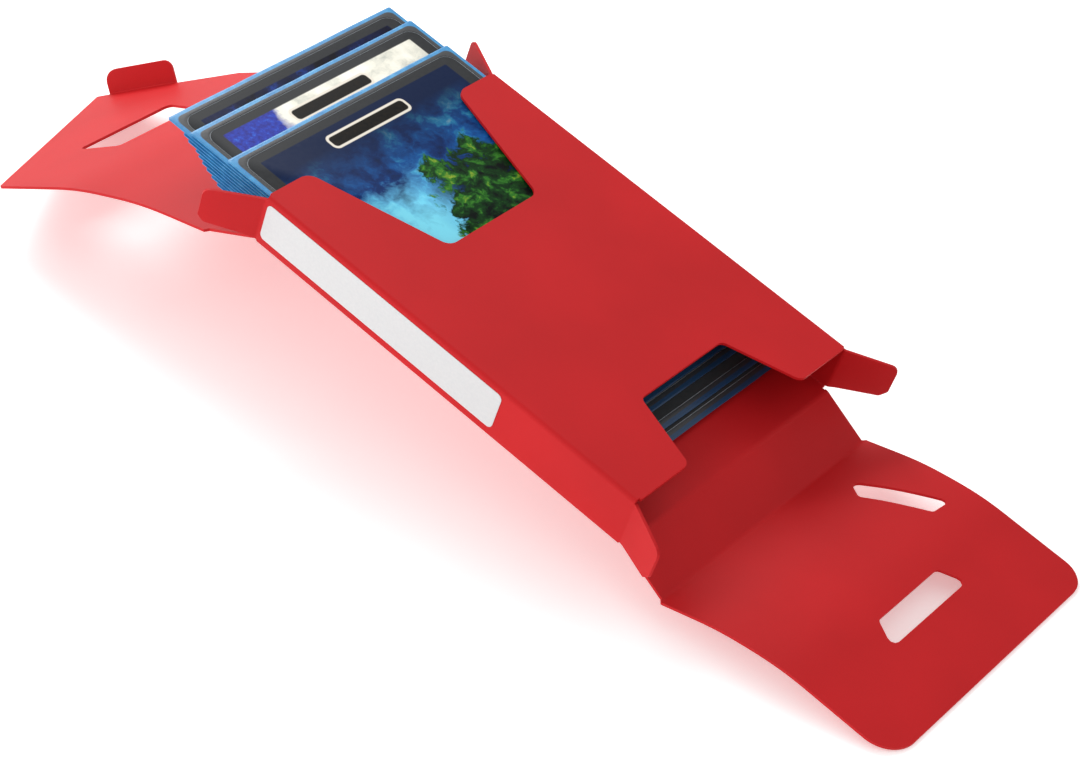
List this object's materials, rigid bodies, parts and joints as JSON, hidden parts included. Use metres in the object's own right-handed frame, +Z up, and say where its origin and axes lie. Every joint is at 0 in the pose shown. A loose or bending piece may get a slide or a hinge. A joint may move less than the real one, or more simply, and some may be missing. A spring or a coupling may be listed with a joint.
{
  "type": "card deck box",
  "caption": "Folded sheet-plastic box for a small deck of sleeved cards, open at both ends, with a folding lid, slots and dust flaps at each end, and the deck fanned out of one end.",
  "frame": {"origin": "centre of the bounding box on the floor, below the open box", "axes": "+X along the box from the long lid's tip to the short lid's end, +Y across, from the labelled side to the plain side, +Z up; the tube itself leans 13.4 degrees down towards +X"},
  "size_m": [0.2608, 0.0844, 0.0519],
  "materials": {
    "red_sheet": "matte, fine grain",
    "side_label": "coated paper label, satin",
    "sleeve": "glossy film",
    "card": "coated card, satin"
  },
  "bodies": {
    "tube": {"back_panel": "red_sheet", "front_panel": "red_sheet", "label_side_panel": "red_sheet", "plain_side_panel": "red_sheet", "seam_flap": "red_sheet", "side_label": "side_label"},
    "left_panel": {"left_end_panel": "red_sheet"},
    "left_lid_root": {"left_lid_1": "red_sheet"},
    "left_lid_middle": {"left_lid_2": "red_sheet"},
    "left_lid_tail": {"left_lid_3": "red_sheet"},
    "left_tab": {"left_tab": "red_sheet"},
    "right_panel": {"right_end_panel": "red_sheet"},
    "right_lid_root": {"right_lid_1": "red_sheet"},
    "right_lid_middle": {"right_lid_2": "red_sheet"},
    "right_lid_end": {"right_lid_3": "red_sheet"},
    "near_left_flap": {"near_left_flap": "red_sheet"},
    "far_left_flap": {"far_left_flap": "red_sheet"},
    "near_right_flap": {"near_right_flap": "red_sheet"},
    "far_right_flap": {"far_right_flap": "red_sheet"},
    "deck_01": {"sleeve_01": "sleeve", "card_01": "card"},
    "deck_02": {"sleeve_02": "sleeve", "card_02": "card"},
    "deck_03": {"sleeve_03": "sleeve", "card_03": "card"},
    "deck_04": {"sleeve_04": "sleeve", "card_04": "card"},
    "deck_05": {"sleeve_05": "sleeve", "card_05": "card"},
    "deck_06": {"sleeve_06": "sleeve", "card_06": "card"},
    "deck_07": {"sleeve_07": "sleeve", "card_07": "card"},
    "deck_08": {"sleeve_08": "sleeve", "card_08": "card"},
    "deck_09": {"sleeve_09": "sleeve", "card_09": "card"},
    "deck_10": {"sleeve_10": "sleeve", "card_10": "card"},
    "deck_11": {"sleeve_11": "sleeve", "card_11": "card"},
    "deck_12": {"sleeve_12": "sleeve", "card_12": "card"},
    "deck_13": {"sleeve_13": "sleeve", "card_13": "card"},
    "deck_14": {"sleeve_14": "sleeve", "card_14": "card"}
  },
  "joints": [
    {"name": "left_panel_fold", "type": "hinge", "parent": "tube", "child": "left_panel", "pos_m": [-0.02891, 0.00071, 0.03559], "axis": [0, -1, 0], "range_deg": [-122.5, 57.7]},
    {"name": "left_lid_fold", "type": "hinge", "parent": "left_panel", "child": "left_lid_root", "pos_m": [-0.04167, 0.00071, 0.0312], "axis": [0, -1, 0], "range_deg": [-77.5, 36.6]},
    {"name": "left_lid_bend_inner", "type": "hinge", "parent": "left_lid_root", "child": "left_lid_middle", "pos_m": [-0.05986, 0.00071, 0.02916], "axis": [0, -1, 0], "range_deg": [-9.3, 4.5]},
    {"name": "left_lid_bend_outer", "type": "hinge", "parent": "left_lid_middle", "child": "left_lid_tail", "pos_m": [-0.07874, 0.00071, 0.02389], "axis": [0, -1, 0], "range_deg": [-9.1, 4.4]},
    {"name": "left_tab_fold", "type": "hinge", "parent": "left_lid_tail", "child": "left_tab", "pos_m": [-0.1212, 0.02571, 0.00446], "axis": [0.8292, 0.4104, 0.3794], "range_deg": [-85.5, 40.5]},
    {"name": "right_panel_fold", "type": "hinge", "parent": "tube", "child": "right_panel", "pos_m": [0.06668, 0.00071, 0.01279], "axis": [0, 1, 0], "range_deg": [-113.7, 66.3]},
    {"name": "right_lid_fold", "type": "hinge", "parent": "right_panel", "child": "right_lid_root", "pos_m": [0.07681, 0.00071, 0.00513], "axis": [0, 1, 0], "range_deg": [-45.3, 44.7]},
    {"name": "right_lid_bend_inner", "type": "hinge", "parent": "right_lid_root", "child": "right_lid_middle", "pos_m": [0.09039, 0.00071, 0.00694], "axis": [0, 1, 0], "range_deg": [-9.3, 9.3]},
    {"name": "right_lid_bend_outer", "type": "hinge", "parent": "right_lid_middle", "child": "right_lid_end", "pos_m": [0.10409, 0.00071, 0.00655], "axis": [0, 1, 0], "range_deg": [-11.9, 11.9]},
    {"name": "near_left_flap_fold", "type": "hinge", "parent": "tube", "child": "near_left_flap", "pos_m": [-0.02688, -0.03399, 0.04117], "axis": [0.232, 0, 0.9727], "range_deg": [-40, 50]},
    {"name": "far_left_flap_fold", "type": "hinge", "parent": "tube", "child": "far_left_flap", "pos_m": [-0.02688, 0.03541, 0.04117], "axis": [-0.232, 0, -0.9727], "range_deg": [-30, 60]},
    {"name": "near_right_flap_fold", "type": "hinge", "parent": "tube", "child": "near_right_flap", "pos_m": [0.06737, -0.03399, 0.0187], "axis": [-0.232, 0, -0.9727], "range_deg": [-117, 63]},
    {"name": "far_right_flap_fold", "type": "hinge", "parent": "tube", "child": "far_right_flap", "pos_m": [0.06737, 0.03541, 0.0187], "axis": [0.232, 0, 0.9727], "range_deg": [-123, 57]},
    {"name": "deck_01_slide", "type": "slide", "parent": "tube", "child": "deck_01", "axis": [-0.9727, 0, 0.232], "range_m": [-0.01665, 0.00786]},
    {"name": "deck_02_slide", "type": "slide", "parent": "tube", "child": "deck_02", "axis": [-0.9727, 0, 0.232], "range_m": [-0.02705, 0.01276]},
    {"name": "deck_03_slide", "type": "slide", "parent": "tube", "child": "deck_03", "axis": [-0.9727, 0, 0.232], "range_m": [-0.0332, 0.01562]},
    {"name": "deck_04_slide", "type": "slide", "parent": "tube", "child": "deck_04", "axis": [-0.9727, 0, 0.232], "range_m": [-0.02865, 0.01351]},
    {"name": "deck_05_slide", "type": "slide", "parent": "tube", "child": "deck_05", "axis": [-0.9727, 0, 0.232], "range_m": [-0.02725, 0.01285]},
    {"name": "deck_06_slide", "type": "slide", "parent": "tube", "child": "deck_06", "axis": [-0.9727, 0, 0.232], "range_m": [-0.02485, 0.01172]},
    {"name": "deck_07_slide", "type": "slide", "parent": "tube", "child": "deck_07", "axis": [-0.9727, 0, 0.232], "range_m": [-0.02385, 0.01125]},
    {"name": "deck_08_slide", "type": "slide", "parent": "tube", "child": "deck_08", "axis": [-0.9727, 0, 0.232], "range_m": [-0.02265, 0.01069]},
    {"name": "deck_09_slide", "type": "slide", "parent": "tube", "child": "deck_09", "axis": [-0.9727, 0, 0.232], "range_m": [-0.02125, 0.01003]},
    {"name": "deck_10_slide", "type": "slide", "parent": "tube", "child": "deck_10", "axis": [-0.9727, 0, 0.232], "range_m": [-0.01965, 0.00927]},
    {"name": "deck_11_slide", "type": "slide", "parent": "tube", "child": "deck_11", "axis": [-0.9727, 0, 0.232], "range_m": [-0.01785, 0.00843]},
    {"name": "deck_12_slide", "type": "slide", "parent": "tube", "child": "deck_12", "axis": [-0.9727, 0, 0.232], "range_m": [-0.01585, 0.00749]},
    {"name": "deck_13_slide", "type": "slide", "parent": "tube", "child": "deck_13", "axis": [-0.9727, 0, 0.232], "range_m": [-0.01165, 0.00551]},
    {"name": "deck_14_slide", "type": "slide", "parent": "tube", "child": "deck_14", "axis": [-0.9727, 0, 0.232], "range_m": [-0.00905, 0.00428]}
  ],
  "couplings": [
    {"joint": "left_lid_fold", "follows": "deck_03_slide", "rad_per_m": 40.689},
    {"joint": "left_lid_bend_inner", "follows": "deck_03_slide", "rad_per_m": 4.8365},
    {"joint": "left_lid_bend_outer", "follows": "deck_03_slide", "rad_per_m": 4.7313},
    {"joint": "left_tab_fold", "follows": "deck_03_slide", "rad_per_m": 44.685},
    {"joint": "right_lid_bend_inner", "follows": "right_lid_fold", "ratio": 0.20309},
    {"joint": "right_lid_bend_outer", "follows": "right_lid_fold", "ratio": 0.26049},
    {"joint": "deck_01_slide", "follows": "deck_03_slide", "ratio": 0.5},
    {"joint": "deck_02_slide", "follows": "deck_03_slide", "ratio": 0.81325},
    {"joint": "deck_04_slide", "follows": "deck_03_slide", "ratio": 0.86145},
    {"joint": "deck_05_slide", "follows": "deck_03_slide", "ratio": 0.81928},
    {"joint": "deck_06_slide", "follows": "deck_03_slide", "ratio": 0.74699},
    {"joint": "deck_07_slide", "follows": "deck_03_slide", "ratio": 0.71687},
    {"joint": "deck_08_slide", "follows": "deck_03_slide", "ratio": 0.68072},
    {"joint": "deck_09_slide", "follows": "deck_03_slide", "ratio": 0.63855},
    {"joint": "deck_10_slide", "follows": "deck_03_slide", "ratio": 0.59036},
    {"joint": "deck_11_slide", "follows": "deck_03_slide", "ratio": 0.53614},
    {"joint": "deck_12_slide", "follows": "deck_03_slide", "ratio": 0.4759},
    {"joint": "deck_13_slide", "follows": "deck_03_slide", "ratio": 0.3494},
    {"joint": "deck_14_slide", "follows": "deck_03_slide", "ratio": 0.27108},
    {"joint": "left_panel_fold", "follows": "deck_03_slide", "rad_per_m": 64.346}
  ]
}
